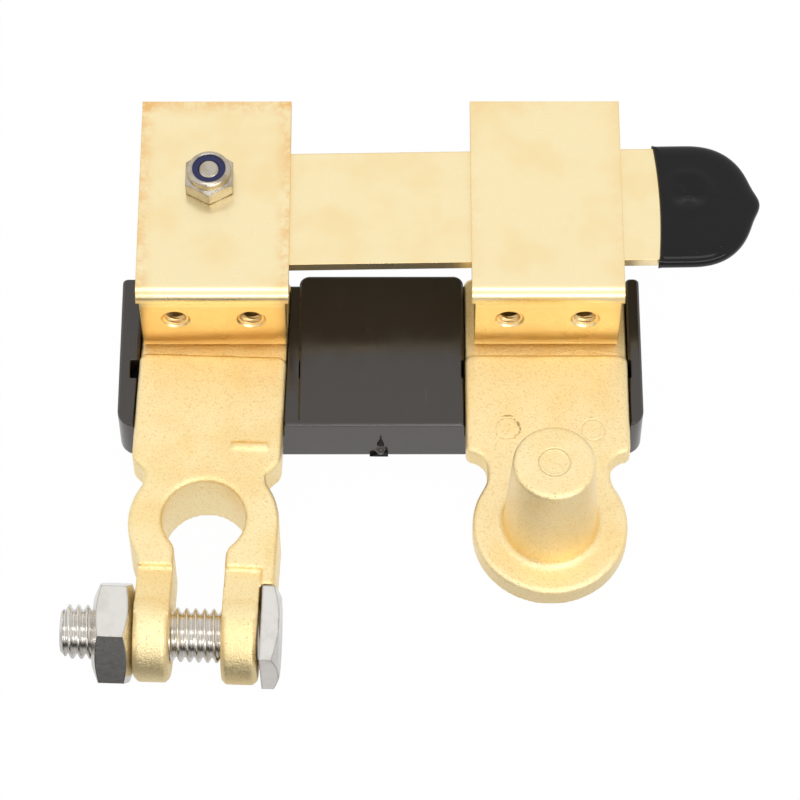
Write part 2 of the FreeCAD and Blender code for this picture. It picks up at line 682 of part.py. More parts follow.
def swing(body):
    """Puts a piece of the blade on the pivot, at the angle that it rests at."""
    place(body, (pivot_x, d.pivot_rear, 0), "rotationz(sizes.blade_turn)")


def make_blade():
    body = new_body("blade")
    box(body, "bar", (-d.blade_tail, blade_front, blade_bottom),
        (blade_reach, d.pivot_behind, blade_top))
    dress(body, "Fillet", "tail_corners", d.blade_tail_corner,
          lambda b: upright(b) and same(b.XMin, -d.blade_tail))
    dress(body, "Fillet", "nose_corners", d.blade_nose_corner,
          lambda b: upright(b) and same(b.XMin, blade_reach))
    rod(body, "pivot_hole", d.pivot_radius + d.pivot_play, (0, 0, blade_bottom - PAST),
        d.blade_thickness + 2 * PAST, cut=True)
    swing(body)
    return body


# Grip: soft plastic dipped over the blade's end, with a bowed open rim

def make_blade_grip():
    body = new_body("blade_grip")
    wall = d.grip_wall
    end = blade_reach + wall
    rim = blade_reach - d.grip_length
    start = rim - d.grip_rim_bow
    low = (start - PAST, blade_front - wall, blade_bottom - wall)
    high = (end, d.pivot_behind + wall, blade_top + wall)
    box(body, "skin", low, high)
    dress(body, "Fillet", "round_end", d.grip_corner,
          lambda b: upright(b) and same(b.XMin, end))
    dress(body, "Chamfer", "soft_edges", d.grip_edge,
          lambda b: (level(b, low[2]) or level(b, high[2])) and b.XMax > start.value)
    drip = body.newObject("PartDesign::AdditiveSphere", "drip")
    bind(drip, "Radius", d.drip_radius)
    centre_y = d.pivot_behind - d.blade_width / 2
    centre_z = (blade_top + blade_bottom) / 2
    place(drip, (end + d.drip_out - d.drip_radius, centre_y, centre_z))
    fit = d.grip_fit
    corner = d.blade_nose_corner
    corner_x = blade_reach - corner
    pocket_bottom = blade_bottom - fit
    pocket_top = blade_top + fit
    box(body, "blade_pocket", (start - 2 * PAST, blade_front - fit, pocket_bottom),
        (corner_x, d.pivot_behind + fit, pocket_top), cut=True)
    box(body, "pocket_end", (corner_x - PAST, blade_front + corner, pocket_bottom),
        (blade_reach + fit, d.pivot_behind - corner, pocket_top), cut=True)
    for name, corner_y in (("front", blade_front + corner), ("rear", d.pivot_behind - corner)):
        rod(body, name + "_pocket_corner", corner + fit, (corner_x, corner_y, pocket_bottom),
            pocket_top - pocket_bottom, cut=True)
    half = d.blade_width / 2 + wall
    bow = d.grip_rim_bow
    rim_radius = (half * half + bow * bow) / (2 * bow)
    rod(body, "open_rim", rim_radius, (rim - rim_radius, centre_y, low[2] - PAST),
        d.blade_thickness + 2 * wall + 2 * PAST, cut=True)
    swing(body)
    return body


# Pivot: a small bolt from below with a lock nut on top of the left jaw

def make_pivot_bolt():
    body = new_body("pivot_bolt")
    head_bottom = lower_leaf_underside - d.pivot_head_height
    end = jaw_top + d.lock_height - d.bolt_end_drop
    rod(body, "head", d.pivot_head_radius, (0, 0, head_bottom), d.pivot_head_height)
    rod(body, "shank", d.pivot_radius, (0, 0, head_bottom + PAST), end - head_bottom - PAST)
    dress(body, "Chamfer", "head_edge", d.pivot_head_height / 3,
          lambda b: level(b, head_bottom))
    dress(body, "Chamfer", "end_bevel", d.pivot_radius / 6, lambda b: level(b, end))
    cross_recess(body, d.pivot_head_radius, head_bottom, d.pivot_head_height)
    place(body, (pivot_x, d.pivot_rear, 0))
    return body


def cross_recess(body, head_radius, bottom, head_height):
    """A cross for a screwdriver, cut into a head from below."""
    reach = head_radius * d.cross_reach
    half = head_radius * d.cross_width
    for name, long_x, long_y in (("slot_across", reach, half), ("slot_along", half, reach)):
        box(body, name, (-long_x, -long_y, bottom - PAST),
            (long_x, long_y, bottom + head_height * d.cross_depth), cut=True)


def bevel_corners(body, name, across, end, upward):
    """Turns the corners at one end of a hexagonal or square bar down to a cone."""
    doc.recompute()
    start = across / 2 * d.corner_start
    drop = (across - start) * d.corner_slope
    low = end - drop if upward else end + drop
    sketch = outline(body, name + "_profile", "XZ_Plane",
                     [(start, end), (across, end), (across, low)])
    return groove(body, name, sketch)


def make_pivot_lock_nut():
    body = new_body("pivot_lock_nut")
    hexagon(body, "hex", d.lock_across, (0, 0, jaw_top), d.lock_hex)
    bevel_corners(body, "hex_bevel", d.lock_across, jaw_top + d.lock_hex, True)
    rod(body, "collar", d.collar_radius, (0, 0, jaw_top), d.lock_height)
    top = jaw_top + d.lock_height
    dress(body, "Chamfer", "collar_rim", d.collar_bevel, lambda b: level(b, top))
    pocket_floor = top - d.insert_depth - d.insert_height
    rod(body, "insert_seat", d.insert_radius, (0, 0, pocket_floor), d.insert_height, cut=True)
    rod(body, "mouth", d.collar_mouth, (0, 0, pocket_floor), d.lock_height, cut=True)
    rod(body, "thread", d.pivot_radius + d.thread_play, (0, 0, jaw_top - PAST),
        d.lock_height + 2 * PAST, cut=True)
    place(body, (pivot_x, d.pivot_rear, 0))
    return body


def make_lock_nut_insert():
    body = new_body("lock_nut_insert")
    top = jaw_top + d.lock_height - d.insert_depth
    low = top - d.insert_height
    rod(body, "ring", d.insert_radius, (0, 0, low), d.insert_height)
    rod(body, "hole", d.pivot_radius, (0, 0, low - PAST), d.insert_height + 2 * PAST, cut=True)
    place(body, (pivot_x, d.pivot_rear, 0))
    return body


# Clamp bolt and nut: drawn standing on their own axis, then laid along the ears

def lay_on_bolt_axis(body, turn):
    """Lays a piece drawn along +Z on the clamp bolt's axis, pointing left."""
    local = "placement(vector(0; %s; %s); rotationx(%s) * rotationy(-90))" % (
        bolt_y.formula, bolt_z.formula, turn)
    body.setExpression("Placement", clamp_frame + " * " + local)


def make_clamp_bolt():
    body = new_body("clamp_bolt")
    half = d.head_square / 2
    head_back = -ear_out - d.head_gap
    head_end = head_back - d.head_thickness
    box(body, "head", (-half, -half, head_end), (half, half, head_back))
    bevel_corners(body, "head_bevel", d.head_square, head_end, False)
    tip = ear_out + d.bolt_tip
    rod(body, "shank", d.clamp_bolt_radius, (0, 0, head_back - PAST), tip - head_back + PAST)
    dress(body, "Chamfer", "tip_bevel", d.tip_chamfer, lambda b: level(b, tip))
    lay_on_bolt_axis(body, "sizes.head_turn")
    return body


def make_clamp_nut():
    body = new_body("clamp_nut")
    low = ear_out + d.nut_seat
    high = low + d.nut_thickness
    hexagon(body, "hex", d.nut_across, (0, 0, low), d.nut_thickness)
    bevel_corners(body, "outer_bevel", d.nut_across, high, True)
    bevel_corners(body, "inner_bevel", d.nut_across, low, False)
    rod(body, "thread", d.clamp_bolt_radius + d.thread_play, (0, 0, low - PAST),
        d.nut_thickness + 2 * PAST, cut=True)
    lay_on_bolt_axis(body, "90")
    return body


# Base screws: from below through base and casting into each jaw's foot

def make_base_screw(side, hand, name):
    body = new_body("base_screw_" + name)
    head_bottom = d.screw_sink - d.screw_head_height
    end = foot_level + d.sheet_thickness
    rod(body, "head", d.screw_head_radius, (0, 0, head_bottom), d.screw_head_height)
    rod(body, "shank", d.screw_radius, (0, 0, head_bottom), end - head_bottom)
    dress(body, "Chamfer", "head_edge", d.screw_head_height / 3,
          lambda b: level(b, head_bottom))
    cross_recess(body, d.screw_head_radius, head_bottom, d.screw_head_height)
    place(body, (side * side_x + hand * d.screw_spacing / 2, d.screw_row, 0))
    return body


def make_all():
    bodies = [make_base(), make_clamp_terminal(), make_post_terminal(),
              make_jaw("left_jaw", -1), make_jaw("right_jaw", 1),
              make_blade(), make_blade_grip(),
              make_pivot_bolt(), make_pivot_lock_nut(), make_lock_nut_insert(),
              make_clamp_bolt(), make_clamp_nut()]
    bodies += [make_base_screw(side, hand, name) for side, hand, name in screw_places()]
    return bodies


def check_document(bodies):
    """Stops if any object failed or any piece is not one sound solid."""
    doc.recompute()
    for thing in doc.Objects:
        if "Invalid" in thing.State or "Error" in thing.State:
            raise RuntimeError("%s failed: %s" % (thing.Name, thing.State))
    for body in bodies:
        shape = body.Shape
        if shape.isNull() or not shape.isValid() or len(shape.Solids) != 1:
            raise RuntimeError("%s is not one sound solid" % body.Label)


def export(bodies):
    os.makedirs("parts", exist_ok=True)
    for body in bodies:
        body.Shape.exportStep("parts/%s.step" % body.Label)


pieces = make_all()
check_document(pieces)
export(pieces)
for piece in pieces:
    bounds = piece.Shape.BoundBox
    print("%-22s %9.1f mm3  x %6.2f..%6.2f  y %6.2f..%6.2f  z %6.2f..%6.2f" % (
        piece.Label, piece.Shape.Volume, bounds.XMin, bounds.XMax,
        bounds.YMin, bounds.YMax, bounds.ZMin, bounds.ZMax))
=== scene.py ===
import json
import math

import bmesh
import bpy
from mathutils import Matrix, Vector

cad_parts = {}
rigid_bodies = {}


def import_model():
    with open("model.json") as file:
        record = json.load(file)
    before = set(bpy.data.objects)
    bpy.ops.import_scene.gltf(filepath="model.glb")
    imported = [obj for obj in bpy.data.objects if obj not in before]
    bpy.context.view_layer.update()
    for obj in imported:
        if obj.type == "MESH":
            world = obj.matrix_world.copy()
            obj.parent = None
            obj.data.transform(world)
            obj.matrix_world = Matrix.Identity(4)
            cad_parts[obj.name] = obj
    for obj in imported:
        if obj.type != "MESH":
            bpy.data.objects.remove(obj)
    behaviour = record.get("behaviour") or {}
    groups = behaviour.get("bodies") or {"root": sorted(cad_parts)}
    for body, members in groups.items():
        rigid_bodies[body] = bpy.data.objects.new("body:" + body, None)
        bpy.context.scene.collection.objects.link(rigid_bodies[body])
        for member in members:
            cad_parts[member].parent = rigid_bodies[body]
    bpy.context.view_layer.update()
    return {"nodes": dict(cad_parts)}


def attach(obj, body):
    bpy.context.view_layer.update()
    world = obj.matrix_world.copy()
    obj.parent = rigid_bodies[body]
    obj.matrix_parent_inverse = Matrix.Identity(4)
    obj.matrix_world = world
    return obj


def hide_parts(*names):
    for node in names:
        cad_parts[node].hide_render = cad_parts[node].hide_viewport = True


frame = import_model()
nodes = frame["nodes"]


# The moulded base is one block of black nylon with a channel for each casting.
# It comes glossy out of its mould, with fine dust, a few scratches and soft flow
# marks, and all the brass is screwed down on it from below.

MM = 0.001


class Socket:
    """A node's output that takes + - * / and greater-than, adding a Math node for each."""

    def __init__(self, graph, link):
        self.graph = graph
        self.link = link

    def maths(self, operation, *values):
        return self.graph.add("ShaderNodeMath", values, operation=operation)

    def __add__(self, other):
        return self.maths("ADD", self, other)

    def __sub__(self, other):
        return self.maths("SUBTRACT", self, other)

    def __mul__(self, other):
        return self.maths("MULTIPLY", self, other)

    def __truediv__(self, other):
        return self.maths("DIVIDE", self, other)

    def __gt__(self, other):
        return self.maths("GREATER_THAN", self, other)

    def __rsub__(self, other):
        return self.maths("SUBTRACT", other, self)

    __radd__ = __add__
    __rmul__ = __mul__

    def size(self):
        return self.maths("ABSOLUTE", self)

    def root(self):
        return self.maths("SQRT", self)

    def sine(self):
        return self.maths("SINE", self)

    def cosine(self):
        return self.maths("COSINE", self)

    def fraction(self):
        return self.maths("FRACT", self)

    def at_least(self, low):
        return self.maths("MAXIMUM", self, low)

    def at_most(self, high):
        return self.maths("MINIMUM", self, high)

    def smooth(self, low, high):
        """0 below low, 1 above high, and a soft step between them."""
        return self.graph.add("ShaderNodeMapRange",
                              {"Value": self, "From Min": low, "From Max": high},
                              interpolation_type="SMOOTHSTEP")

    def near(self, value, reach):
        """1 at a value, falling softly to 0 a reach away from it."""
        return 1 - (self - value).size().smooth(0.0, reach)


class Graph:
    """Nodes of one tree, added with their settings and linked as they are made."""

    def __init__(self, tree):
        self.nodes = tree.nodes
        self.links = tree.links

    def add(self, kind, values=(), out=0, **settings):
        """Any node: its settings first, then the values or links of its sockets."""
        node = self.nodes.new(kind)
        for key, value in settings.items():
            setattr(node, key, value)
        pairs = values.items() if isinstance(values, dict) else enumerate(values)
        for key, value in pairs:
            self.feed(node.inputs[key], value)
        return Socket(self, node.outputs[out])

    def feed(self, socket, value):
        if isinstance(value, Socket):
            self.links.new(value.link, socket)
        else:
            socket.default_value = value

    def axes(self, vector):
        split = self.add("ShaderNodeSeparateXYZ", {0: vector}).link.node
        return [Socket(self, output) for output in split.outputs]


class Finish(Graph):
    """A material made of nodes for one finish of this switch."""

    def __init__(self, name):
        self.material = bpy.data.materials.new(name)
        self.material.use_nodes = True
        super().__init__(self.material.node_tree)
        self.shader = self.nodes["Principled BSDF"]
        self.place = self.add("ShaderNodeTexCoord", out="Object")
        self.x, self.y, self.z = self.axes(self.stretched((1, 1, 1)))

    def set(self, **values):
        """Sets the shader's sockets: base_color stands for Base Color, and so on."""
        for key, value in values.items():
            name = {"ior": "IOR"}.get(key, key.replace("_", " ").title())
            if name == "Base Color" and not isinstance(value, Socket):
                value = (*value, 1)
            self.feed(self.shader.inputs[name], value)

    def stretched(self, by, turn=0.0):
        """Object coordinates in millimetres, scaled along each axis and turned about Z."""
        return self.add("ShaderNodeMapping", {"Vector": self.place,
                                              "Scale": tuple(1000 * value for value in by),
                                              "Rotation": (0, 0, turn)})

    def noise(self, scale, detail=3.0, roughness=0.5, stretch=(1, 1, 1)):
        return self.add("ShaderNodeTexNoise", {"Vector": self.stretched(stretch), "Scale": scale,
                                               "Detail": detail, "Roughness": roughness})

    def mix(self, low, high, amount):
        """Two colours blended by an amount."""
        ends = [value if isinstance(value, Socket) else (*value, 1) for value in (low, high)]
        return self.add("ShaderNodeMix", {0: amount, 6: ends[0], 7: ends[1]}, out=2,
                        data_type="RGBA")

    def rounded(self, radius):
        return self.add("ShaderNodeBevel", {"Radius": radius * MM}, samples=6)

    def edges(self, radius):
        """How near the surface is to an edge: 0 on a face, rising towards the edge."""
        plain = self.add("ShaderNodeNewGeometry", out="Normal")
        match = self.add("ShaderNodeVectorMath", {0: self.rounded(radius), 1: plain},
                         out="Value", operation="DOT_PRODUCT")
        return (1 - match).smooth(0.0, 0.22)

    def relief(self, height, depth, edge=0.0):
        """A bump of a depth, over edges that are rounded by a radius."""
        inputs = {"Height": height, "Distance": depth * MM, "Strength": 1.0}
        if edge:
            inputs["Normal"] = self.rounded(edge)
        self.set(normal=self.add("ShaderNodeBump", inputs))

    def scratches(self, scale, turn, width, share):
        """Thin straight marks: stretched cells, of which only a share shows."""
        along = self.stretched((scale, scale * 0.05, scale), turn)
        lines = self.add("ShaderNodeTexVoronoi", {"Vector": along, "Scale": 1.0},
                         feature="DISTANCE_TO_EDGE")
        patches = self.noise(0.25 + 0.01 * turn, 2.0)
        return (1 - lines.smooth(0.0, width)) * patches.smooth(1 - share, 1 - share + 0.08)

    def dress(self, *names):
        """Puts this finish on CAD nodes, in place of the plain one they were packed with."""
        for name in names:
            for slot in nodes[name].material_slots:
                slot.material = self.material


def merged_copy(node):
    """The surface of a CAD node as one connected mesh that may be reshaped."""
    shape = bmesh.new()
    shape.from_mesh(nodes[node].data)
    bmesh.ops.remove_doubles(shape, verts=shape.verts, dist=1e-6)
    return shape


def prism(shape, outline, low, high, place=lambda u, v, w: (u, v, w)):
    """Adds a closed bar with a plan outline between two levels, in millimetres."""
    rings = [[shape.verts.new([c * MM for c in place(u, v, level)]) for u, v in outline]
             for level in (low, high)]
    count = len(outline)
    faces = [shape.faces.new(rings[0]), shape.faces.new(rings[1])]
    for i in range(count):
        j = (i + 1) % count
        faces.append(shape.faces.new((rings[0][i], rings[0][j], rings[1][j], rings[1][i])))
    bmesh.ops.recalc_face_normals(shape, faces=faces)


def mesh_object(name, shape, finish, sharp=20):
    """A finished piece at the origin: smooth, but sharp where faces meet at an angle."""
    mesh = shape
    if isinstance(shape, bmesh.types.BMesh):
        mesh = bpy.data.meshes.new(name)
        shape.to_mesh(mesh)
        shape.free()
    mesh.materials.clear()
    mesh.materials.append(finish.material)
    for face in mesh.polygons:
        face.use_smooth = True
        face.material_index = 0
    mesh.set_sharp_from_angle(angle=math.radians(sharp))
    piece = bpy.data.objects.new(name, mesh)
    bpy.context.scene.collection.objects.link(piece)
    return piece


def apply_modifiers(piece):
    """Replaces a piece's mesh by what its modifiers make of it."""
    whole = piece.evaluated_get(bpy.context.evaluated_depsgraph_get())
    made = bpy.data.meshes.new_from_object(whole)
    piece.modifiers.clear()
    old = piece.data
    piece.data = made
    bpy.data.meshes.remove(old)


def flat_and_round(mesh, least, sharp=50):
    """Shades each level face of at least an area flat, and the rounds between them smooth."""
    shape = bmesh.new()
    shape.from_mesh(mesh)
    shape.faces.ensure_lookup_table()
    level = {}
    for face in shape.faces:
        if face in level:
            continue
        group, waiting = [face], [face]
        level[face] = None
        while waiting:
            for edge in waiting.pop().edges:
                for other in edge.link_faces:
                    if other not in level and other.normal.dot(face.normal) > 0.99995:
                        level[other] = None
                        group.append(other)
                        waiting.append(other)
        if sum(part.calc_area() for part in group) > least * MM * MM:
            for part in group:
                level[part] = face.normal.copy()
    bend = math.cos(math.radians(sharp))
    normals = []
    for face in shape.faces:
        for corner in face.loops:
            normal = level[face]
            if normal is None:
                near = [part for part in corner.vert.link_faces
                        if part.normal.dot(face.normal) > bend]
                plain = [level[part] for part in near if level[part]]
                normal = (max(plain, key=face.normal.dot) if plain
                          else sum((part.normal * part.calc_area() for part in near), Vector()))
            normals.append(normal.normalized())
    shape.free()
    for polygon in mesh.polygons:
        polygon.use_smooth = True
    mesh.normals_split_custom_set(normals)


moulded = Finish("black_moulding")
flow = moulded.noise(0.35, 3.0, stretch=(1, 0.5, 1))
dust = moulded.noise(5.0, 4.0, 0.7)
specks = dust.smooth(0.72, 0.76)
rubbed = moulded.scratches(1.4, 0.5, 0.025, 0.40)
moulded.set(base_color=moulded.mix((0.020, 0.0135, 0.0095), (0.16, 0.15, 0.14),
                                   specks * 0.5 + rubbed * 0.14),
            roughness=0.16 + flow.smooth(0.35, 0.7) * 0.08 + specks * 0.25, ior=1.68)
moulded.relief(flow * 0.6 + rubbed * 0.2 + dust * 0.08, 0.03, 0.25)

# The strip beside the clamp terminal is only a little lower than the panel next to it,
# but for a notch at its rear. Its outer side follows the terminal, which lies turned.
STRIP_LOW, STRIP_HIGH = 5.0, 7.6
PANEL_SIDE = -11.0
STRIP_FRONT, STRIP_REAR = -10.85, 10.1
strip_shape = bmesh.new()
prism(strip_shape, [(-12.86, STRIP_FRONT), (PANEL_SIDE, STRIP_FRONT), (PANEL_SIDE, STRIP_REAR),
                    (-12.13, STRIP_REAR)], STRIP_LOW, STRIP_HIGH)
strip = mesh_object("base_strip", strip_shape, moulded)

# Where the mould was filled, a torn gate stands out of the front: a spike over a stump.
BASE_FRONT = -11.8
SPIKE = [(-0.5, 2.7), (0.45, 2.6), (0.15, 3.8), (0.05, 5.2), (-0.15, 3.7)]
STUMP = [(-1.5, 0.15), (-0.6, 0.1), (1.0, 0.1), (0.9, 1.2), (-0.2, 1.3), (-0.6, 0.6)]
torn = Finish("torn_nylon")
torn.set(base_color=(0.006, 0.005, 0.004), roughness=0.55, ior=1.25)
torn.relief(torn.noise(3.0), 0.15)
gate = bmesh.new()
for outline, depth in ((SPIKE, 0.22), (STUMP, 0.42)):
    prism(gate, outline, BASE_FRONT - depth, BASE_FRONT + 0.2, lambda x, z, y: (x, y, z))
gate_piece = mesh_object("gate_mark", gate, torn)
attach(gate_piece, "switch")

base = mesh_object("moulded_base", merged_copy("base"), moulded)
union = base.modifiers.new("strip", "BOOLEAN")
union.operation = "UNION"
union.solver = "EXACT"
union.object = strip
apply_modifiers(base)
bpy.data.objects.remove(strip)
flat_and_round(base.data, 4.0)
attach(base, "switch")
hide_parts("base")


# Both terminals are sand-cast brass, left as cast: a fine grain all over, edges worn
# soft and small pits.
# Each is one casting, laid in its channel of the base and held by the jaw's screws.

CLAMP_TURN = math.radians(-2)
CLAMP_PIVOT = (-22.3, 6.0)
BOLT_Y, BOLT_Z = -46.5, 2.75
CREASE_Y, PLATE_TOP = -39.2, 8.55
EAR_INSIDE, EAR_OUTSIDE = 3.375, 8.075
RING_X, RING_Y = 0.2, -32.5
RING_DRAWN, RING_REAL = 9.8, 9.95
RING_REACH = 0.4
WAIST_Y = -24


def from_clamp(x, y, z):
    """A point of the clamp terminal, which lies turned about the middle of its screws."""
    turn = Matrix.Rotation(CLAMP_TURN, 3, "Z")
    return turn @ Vector((x, y, z)) + Vector((*CLAMP_PIVOT, 0))


def to_clamp(point):
    turn = Matrix.Rotation(-CLAMP_TURN, 3, "Z")
    return turn @ (point / MM - Vector((*CLAMP_PIVOT, 0)))


def cast_finish(name, light, dark):
    """As-cast brass, with painted shade along its edges; gives the finish, its colour and its height,
    for marks to be added.
    """
    cast = Finish(name)
    grain = cast.noise(3.2, 4.0, 0.6)
    fine = cast.noise(7.0, 2.0, 0.6)
    pits = cast.add("ShaderNodeTexVoronoi", {"Vector": cast.stretched((1, 1, 1)), "Scale": 1.1})
    pit_mask = 1 - pits.smooth(0.04, 0.11)
    tone = cast.noise(0.16, 3.0)
    colour = cast.mix(light, dark, tone.smooth(0.4, 0.7))
    colour = cast.mix(colour, (0.76, 0.54, 0.23), grain.smooth(0.50, 0.68) * 0.42)
    # Painted shade along the edges, with a tarnish tone, in grainy patches: it dulls the highlight
    # the lamps give there.
    colour = cast.mix(colour, (0.72, 0.47, 0.19), cast.edges(0.7) * grain.smooth(0.30, 0.6) * 0.85)
    colour = cast.mix(colour, (0.60, 0.36, 0.12), pit_mask * 0.4)
    cast.set(metallic=1.0, roughness=0.34 + grain.smooth(0.3, 0.7) * 0.14)
    return cast, colour, grain * 0.8 + fine * 0.5 - pit_mask * 0.7


def soft_casting(name, node, shape, finish):
    """A casting's closed surface with its edges worn round."""
    piece = mesh_object(name, shape, finish)
    remesh = piece.modifiers.new("skin", "REMESH")
    remesh.mode = "VOXEL"
    remesh.voxel_size = 0.24 * MM
    soften = piece.modifiers.new("worn", "SMOOTH")
    soften.factor = 0.5
    soften.iterations = 2
    apply_modifiers(piece)
    for face in piece.data.polygons:
        face.use_smooth = True
    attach(piece, "switch")
    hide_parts(node)
    return piece


GRAIN_DEPTH = 0.10
clamp_cast, clamp_colour, clamp_height = cast_finish("cast_brass", (0.98, 0.81, 0.46),
                                                     (0.95, 0.74, 0.37))
clamp_cast.set(base_color=clamp_colour)
clamp_cast.relief(clamp_height, GRAIN_DEPTH)

# The webs beside the ears slope up from the bolt's level to the crease under the plate,
# and the ring is a little larger than its solid.
clamp = merged_copy("clamp_terminal")
web_side = [(BOLT_Y, BOLT_Z - 4), (BOLT_Y, BOLT_Z + 6.2), (BOLT_Y + 2.0, BOLT_Z + 5.85),
            (CREASE_Y + 0.3, PLATE_TOP - 0.9), (CREASE_Y + 0.3, PLATE_TOP - 9.5)]
for start, end in ((-EAR_OUTSIDE, -EAR_INSIDE), (EAR_INSIDE, EAR_OUTSIDE)):
    prism(clamp, web_side, start, end, lambda y, z, x: from_clamp(x, y, z))
for vertex in clamp.verts:
    place = to_clamp(vertex.co)
    out = Vector((place.x - RING_X, place.y - RING_Y))
    if CREASE_Y < place.y < WAIST_Y and abs(out.length - RING_DRAWN) < RING_REACH:
        out *= RING_REAL / RING_DRAWN
        vertex.co = from_clamp(RING_X + out.x, RING_Y + out.y, place.z) * MM
soft_casting("clamp_casting", "clamp_terminal", clamp, clamp_cast)

# The post's top keeps a round spot from the mould, and the plate two ejectors' rings. The
# left ring is chipped along its right side, with a sliver of flash behind it.
POST = (22.3, -27.0)
POST_LEVEL, PLATE_LEVEL = 24.6, 8.2
SPOT_RADIUS, EJECTOR_RADIUS = 2.0, 1.6
CHIPPED_EJECTOR, WHOLE_EJECTOR = (16.9, -12.6), (28.35, -12.9)
post_cast, post_colour, post_height = cast_finish("cast_brass_post", (0.98, 0.80, 0.46),
                                                  (0.96, 0.75, 0.38))


def from_middle(middle):
    """Offsets and distance from a middle, in plan, at any point of the post's casting."""
    across = post_cast.x - middle[0]
    along = post_cast.y - middle[1]
    return across, along, (across * across + along * along).root()


on_plate = post_cast.z > PLATE_LEVEL
marks = from_middle(POST)[2].near(SPOT_RADIUS, 0.16) * (post_cast.z > POST_LEVEL)
for middle in (CHIPPED_EJECTOR, WHOLE_EJECTOR):
    marks = marks + from_middle(middle)[2].near(EJECTOR_RADIUS, 0.18) * 0.5 * on_plate
chip_x, chip_y, chip_reach = from_middle(CHIPPED_EJECTOR)
ragged = post_cast.noise(1.7, 3.0, 0.7).smooth(0.42, 0.55)
flash = chip_y.near(1.9, 0.16) * chip_x.near(0, 1.2)
chip = (chip_reach.near(EJECTOR_RADIUS, 0.3) * (chip_x > 0.9) + flash) * ragged * on_plate
post_cast.set(base_color=post_cast.mix(post_colour, (0.42, 0.24, 0.08), chip * 0.55 + marks * 0.15))
post_cast.relief(post_height - marks * 0.8 - chip * 2.0, GRAIN_DEPTH)
soft_casting("post_casting", "post_terminal", merged_copy("post_terminal"), post_cast)


# The jaws and the blade are cut from rolled brass sheet of one thickness. The jaws are
# folded in four bends; the blade stays flat. Rolling left the faces satin smooth, with
# a few handling scratches and warm tarnish along the cut edges.

JAW_X = 22.3


def rolled_finish(name, folded):
    """Rolled brass; the folded strips are tarnished near their edges, the left one most, and their
    webs' fronts carry painted shade.
    """
    rolled = Finish(name)
    lay = rolled.noise(1.2, 3.0, stretch=(0.4, 4.0, 1.0))
    cloud = rolled.noise(0.10, 3.0, 0.6)
    marks = rolled.scratches(0.7, 0.9, 0.008, 0.36) + rolled.scratches(0.5, -0.5, 0.008, 0.33)
    worn = rolled.edges(0.5)
    colour = rolled.mix((0.98, 0.83, 0.50), (0.96, 0.77, 0.42), cloud.smooth(0.42, 0.68))
    colour = rolled.mix(colour, (0.86, 0.58, 0.24), worn * 0.45 + marks * 0.3)
    if folded:
        blotch = rolled.noise(0.55, 4.0, 0.7)
        aside = (rolled.x.size() - JAW_X).size().smooth(7.6, 10.2) + rolled.y.smooth(28.5, 32)
        left = 1 - rolled.x.smooth(-12, -4) * 0.75
        colour = rolled.mix(colour, (0.90, 0.55, 0.22),
                            aside * blotch.smooth(0.36, 0.62) * left * 0.72)
        # Painted shade: the upright front of each web, below its upper bend, is coloured darker
        # orange, more on the left jaw.
        painted_web_shade = (1 - rolled.y.smooth(1.5, 3.0)) * (1 - rolled.z.smooth(17.5, 18.6))
        colour = rolled.mix(colour, (0.90, 0.62, 0.28), painted_web_shade * (left * 0.5 + 0.25))
    rolled.set(base_color=colour, metallic=1.0,
               roughness=0.26 + cloud.smooth(0.3, 0.7) * 0.06 + marks * 0.12)
    return rolled, lay * 0.12 + marks * -0.04


# The press left a fine line across each web's front, under its upper bend and over its foot.
UPPER_BEND, FOOT_BEND = 18.62, 9.1
jaw_brass, jaw_height = rolled_finish("folded_brass", True)
web_front = 1 - jaw_brass.y.smooth(1.2, 1.6)
bend_line = jaw_brass.z.near(UPPER_BEND, 0.14) * web_front
foot_line = jaw_brass.z.near(FOOT_BEND, 0.16) * web_front
jaw_brass.relief(jaw_height - (bend_line + foot_line) * 4.0, 0.006, 0.15)
jaw_brass.dress("left_jaw", "right_jaw")
blade_brass, blade_height = rolled_finish("flat_brass", False)
blade_brass.relief(blade_height, 0.006, 0.15)
blade_brass.dress("blade")


class Shape(Graph):
    """A Geometry Nodes tree with named inputs, which ends in one plain mesh."""

    def __init__(self, name, **inputs):
        self.tree = bpy.data.node_groups.new(name, "GeometryNodeTree")
        super().__init__(self.tree)
        self.tree.interface.new_socket("Mesh", in_out="OUTPUT",
                                       socket_type="NodeSocketGeometry")
        self.ids = {}
        for key, kind in {**inputs, "Finish": "Material"}.items():
            socket = self.tree.interface.new_socket(key, in_out="INPUT",
                                                    socket_type="NodeSocket" + kind)
            self.ids[key] = socket.identifier
        entry = self.nodes.new("NodeGroupInput")
        self.inputs = {key: Socket(self, entry.outputs[key]) for key in self.ids}

    def close(self, mesh):
        real = self.add("GeometryNodeRealizeInstances", {0: mesh})
        dressed = self.add("GeometryNodeSetMaterial",
                           {"Geometry": real, "Material": self.inputs["Finish"]})
        self.feed(self.nodes.new("NodeGroupOutput").inputs[0], dressed)

    def make(self, **values):
        """The tree's mesh for these input values."""
        carrier = bpy.data.objects.new("carrier", bpy.data.meshes.new("carrier"))
        bpy.context.scene.collection.objects.link(carrier)
        modifier = carrier.modifiers.new("shape", "NODES")
        modifier.node_group = self.tree
        for key, value in values.items():
            modifier[self.ids[key]] = value
        whole = carrier.evaluated_get(bpy.context.evaluated_depsgraph_get())
        mesh = bpy.data.meshes.new_from_object(whole)
        carrier.modifiers.clear()
        bpy.data.objects.remove(carrier)
        return mesh


